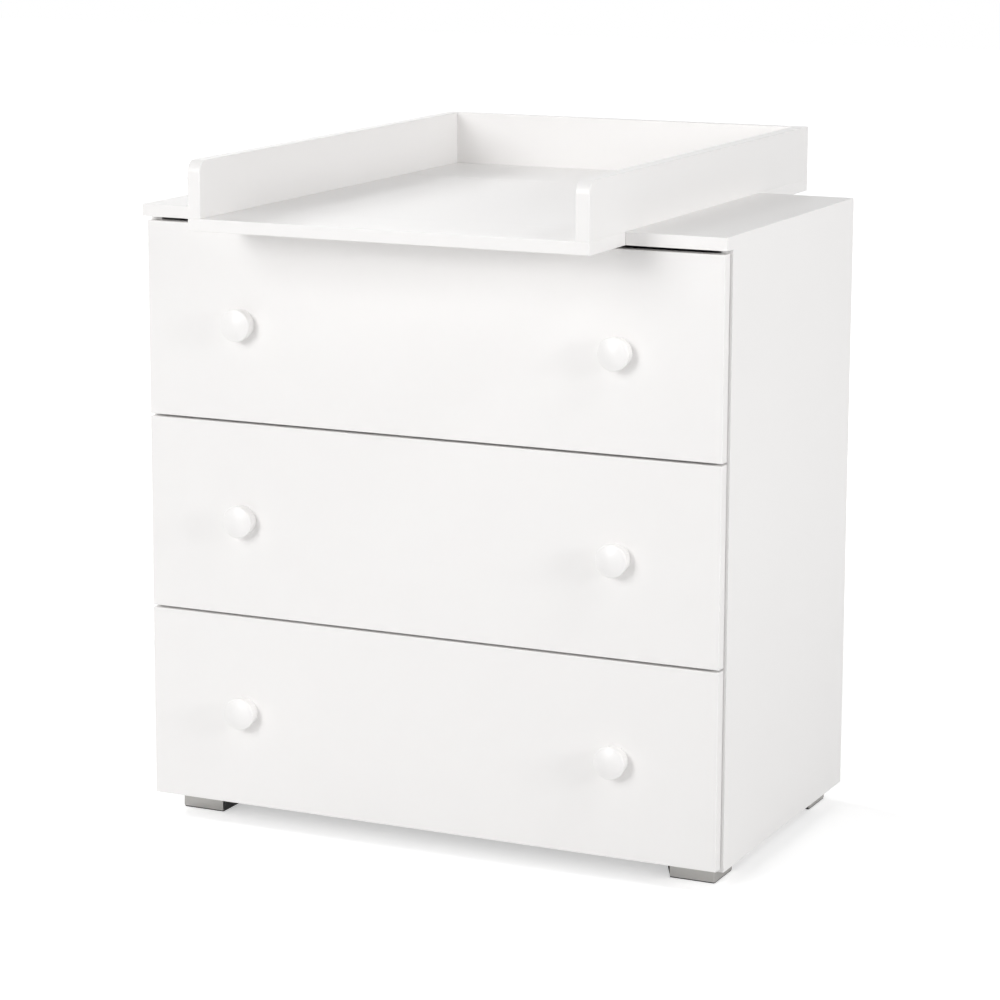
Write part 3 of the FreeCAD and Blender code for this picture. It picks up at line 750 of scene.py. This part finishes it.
class DRESSER_OT_joints(bpy.types.Operator):
    """Gives dowels, cams and cam bolts their beech and zinc"""
    bl_idname = "dresser.joints"
    bl_label = "Dowels and cams"

    def execute(self, context):
        paint(beech(), "chest_dowels", *drawer_nodes("dowels"))
        paint(die_cast(), "cam_housings")
        paint(zinc_plate(), "cam_bolts")
        return {"FINISHED"}


class DRESSER_OT_knobs(bpy.types.Operator):
    """Turns the knobs of each drawer"""
    bl_idname = "dresser.knobs"
    bl_label = "Knobs"

    def execute(self, context):
        form = settings().knobs
        turning = turned_mesh("knob_turning", knob_profile(form), form.steps)
        master = bpy.data.objects.new("knob_turning", turning)
        context.scene.collection.objects.link(master)
        tree = Tree("knobs")
        source = tree.wants("Turning", "Object")
        tree.wants("Material", "Material")
        copy = tree.add("GeometryNodeObjectInfo", {"Object": source}).outputs["Geometry"]
        group = tree.finish(copy)
        material = lacquer()
        for level in LEVELS:
            node = "drawer_%s_knobs" % level
            places = []
            for points in solids_of(node):
                low, high = corners(points)
                seat = Vector(((low.x + high.x) / 2, high.y, (low.z + high.z) / 2))
                places.append((seat, Vector((0, -1, 0))))
            mesh = run_tree(point_cloud("points_" + node, places), group,
                            {"Turning": master, "Material": material}, node + "_turned")
            new_piece(node + "_turned", mesh, node)
        bpy.data.objects.remove(master)
        bpy.data.meshes.remove(turning)
        return {"FINISHED"}


class DRESSER_OT_screws(bpy.types.Operator):
    """Makes the screws with their threads and cross recesses"""
    bl_idname = "dresser.screws"
    bl_label = "Screws"

    def execute(self, context):
        material = zinc_plate()
        sunk = screw_tree(True)
        pan = screw_tree(False)
        for node in ["tray_screws", "cabinet_runner_screws", *drawer_nodes("runner_screws")]:
            make_screws(node, SUNK_HEAD_HEIGHT, sunk, material)
        for node in ["foot_screws", *drawer_nodes("knob_screws")]:
            make_screws(node, PAN_HEAD_HEIGHT, pan, material)
        return {"FINISHED"}


class DRESSER_OT_stage(bpy.types.Operator):
    """Builds the floor, the lights and the camera"""
    bl_idname = "dresser.stage"
    bl_label = "Stage"

    def execute(self, context):
        build_floor()
        build_lights()
        build_camera()
        return {"FINISHED"}


# ---------------------------------------------------------------- stage
def seen_directly(nodes, links, mirrored=1.0):
    """1 for what the camera sees directly or through glass, mirrored for reflections, 0 for what lights."""
    path = nodes.new("ShaderNodeLightPath")
    glossy = nodes.new("ShaderNodeMath")
    glossy.operation = "MULTIPLY"
    glossy.inputs[1].default_value = mirrored
    links.new(path.outputs["Is Glossy Ray"], glossy.inputs[0])
    first = nodes.new("ShaderNodeMath")
    first.operation = "MAXIMUM"
    second = nodes.new("ShaderNodeMath")
    second.operation = "MAXIMUM"
    links.new(path.outputs["Is Camera Ray"], first.inputs[0])
    links.new(glossy.outputs[0], first.inputs[1])
    links.new(first.outputs[0], second.inputs[0])
    links.new(path.outputs["Is Transmission Ray"], second.inputs[1])
    return second.outputs[0]


def build_floor():
    """Level matt floor, white to the camera, that darkens only where the chest shades it."""
    studio = settings().studio
    mesh = bpy.data.meshes.new("floor")
    far = FLOOR_REACH
    mesh.from_pydata([(-far, -far, 0), (far, -far, 0), (far, far, 0), (-far, far, 0)], [], [(0, 1, 2, 3)])
    floor = bpy.data.objects.new("floor", mesh)
    bpy.context.scene.collection.objects.link(floor)
    material = bpy.data.materials.new("pale_floor")
    material.use_nodes = True
    nodes, links = material.node_tree.nodes, material.node_tree.links
    nodes.clear()
    matt = nodes.new("ShaderNodeBsdfDiffuse")
    matt.inputs["Color"].default_value = (0.8, 0.8, 0.8, 1)
    place = nodes.new("ShaderNodeTexCoord")
    away = nodes.new("ShaderNodeVectorMath")
    away.operation = "LENGTH"
    links.new(place.outputs["Object"], away.inputs[0])
    fade = nodes.new("ShaderNodeMapRange")
    fade.interpolation_type = "SMOOTHSTEP"
    for name, value in (("From Min", 0.6), ("From Max", 2.4), ("To Min", studio.floor_glow), ("To Max", 1.0)):
        fade.inputs[name].default_value = value
    links.new(away.outputs["Value"], fade.inputs["Value"])
    lift = nodes.new("ShaderNodeMath")
    lift.operation = "MULTIPLY"
    links.new(fade.outputs["Result"], lift.inputs[0])
    links.new(seen_directly(nodes, links, studio.floor_mirrored), lift.inputs[1])
    glow = nodes.new("ShaderNodeEmission")
    links.new(lift.outputs[0], glow.inputs["Strength"])
    both = nodes.new("ShaderNodeAddShader")
    links.new(matt.outputs[0], both.inputs[0])
    links.new(glow.outputs[0], both.inputs[1])
    output = nodes.new("ShaderNodeOutputMaterial")
    links.new(both.outputs[0], output.inputs["Surface"])
    mesh.materials.append(material)


def direction(azimuth, elevation):
    """Unit vector from the chest, turned from the front towards the right and raised, in degrees."""
    turn, rise = math.radians(azimuth), math.radians(elevation)
    return Vector((math.sin(turn) * math.cos(rise), -math.cos(turn) * math.cos(rise), math.sin(rise)))


def lamp(name, azimuth, elevation, size, watts):
    """Square lamp that looks at the chest, turned from the front towards the right and raised, in degrees."""
    back = direction(azimuth, elevation)
    data = bpy.data.lights.new(name, "AREA")
    data.size = size
    data.energy = watts
    light = bpy.data.objects.new(name, data)
    bpy.context.scene.collection.objects.link(light)
    light.location = LAMP_AIM + back * LAMP_DISTANCE
    light.rotation_mode = "QUATERNION"
    light.rotation_quaternion = (-back).to_track_quat("-Z", "Y")


def build_lights():
    """Lamps around the chest, an even sky, and white where the camera looks past the floor."""
    studio = settings().studio
    lamp("lamp_front_low", -14, 15, 1.2, studio.front_low)
    lamp("lamp_front_high", -21, 26, 1.9, studio.front_high)
    lamp("lamp_left", -85, 30, 0.9, studio.left)
    lamp("lamp_left_rear", -110, 28, 0.9, studio.left_rear)
    lamp("lamp_rear", -150, 28, 0.9, studio.rear)
    lamp("lamp_right_low", 75, 14, 0.9, studio.right_low)
    lamp("lamp_right_high", 75, 45, 0.9, studio.right_high)
    lamp("lamp_right_rear", 110, 14, 0.9, studio.right_rear)
    world = bpy.data.worlds.new("white_studio")
    bpy.context.scene.world = world
    world.use_nodes = True
    nodes, links = world.node_tree.nodes, world.node_tree.links
    nodes.clear()
    sky = nodes.new("ShaderNodeBackground")
    sky.inputs["Color"].default_value = (1, 1, 1, 1)
    sky.inputs["Strength"].default_value = studio.sky
    white = nodes.new("ShaderNodeBackground")
    white.inputs["Color"].default_value = (1, 1, 1, 1)
    white.inputs["Strength"].default_value = 1.0
    mix = nodes.new("ShaderNodeMixShader")
    links.new(seen_directly(nodes, links), mix.inputs["Fac"])
    links.new(sky.outputs[0], mix.inputs[1])
    links.new(white.outputs[0], mix.inputs[2])
    output = nodes.new("ShaderNodeOutputWorld")
    links.new(mix.outputs[0], output.inputs["Surface"])
    bpy.context.scene.view_settings.view_transform = "Standard"


def build_camera():
    """Camera at the photograph's place: 26 degrees to the right and a little above."""
    distance = 4.4815
    target = Vector((-0.1198, 0, 0.4821))
    focal_pixels, photo_pixels = 3356.18, 1000
    back = direction(25.873, 10.686)
    data = bpy.data.cameras.new("camera")
    data.sensor_width = 36.0
    data.lens = focal_pixels / photo_pixels * data.sensor_width
    data.shift_x = 0.07
    data.shift_y = -0.06
    data.clip_end = 60.0
    camera = bpy.data.objects.new("camera", data)
    bpy.context.scene.collection.objects.link(camera)
    camera.location = target + back * distance
    camera.rotation_mode = "QUATERNION"
    camera.rotation_quaternion = (-back).to_track_quat("-Z", "Y")
    bpy.context.scene.camera = camera


# ---------------------------------------------------------------- panel
OPERATORS = (DRESSER_OT_stage, DRESSER_OT_boards, DRESSER_OT_feet, DRESSER_OT_runners, DRESSER_OT_joints,
             DRESSER_OT_curves, DRESSER_OT_knobs, DRESSER_OT_screws)


class DRESSER_PT_panel(bpy.types.Panel):
    """Lists the steps that dress the chest"""
    bl_idname = "DRESSER_PT_panel"
    bl_label = "Changing Dresser"
    bl_space_type = "VIEW_3D"
    bl_region_type = "UI"
    bl_category = "Dresser"

    def draw(self, context):
        values = context.scene.dresser
        for group in (values.boards, values.knobs, values.screws, values.metal, values.studio):
            box = self.layout.box()
            for name in group.bl_rna.properties.keys():
                if name not in ("rna_type", "name"):
                    box.prop(group, name)
        for operator in OPERATORS:
            self.layout.operator(operator.bl_idname)


CLASSES = (BoardFinish, KnobForm, ScrewForm, MetalFinish, Studio, Dresser, *OPERATORS, DRESSER_PT_panel)


def register():
    for item in CLASSES:
        bpy.utils.register_class(item)
    bpy.types.Scene.dresser = PointerProperty(type=Dresser)


def unregister():
    del bpy.types.Scene.dresser
    for item in reversed(CLASSES):
        bpy.utils.unregister_class(item)


def main():
    register()
    bpy.ops.dresser.stage()
    bpy.ops.dresser.boards()
    bpy.ops.dresser.feet()
    bpy.ops.dresser.runners()
    bpy.ops.dresser.joints()
    bpy.ops.dresser.curves()
    bpy.ops.dresser.knobs()
    bpy.ops.dresser.screws()


if __name__ == "__main__":
    main()
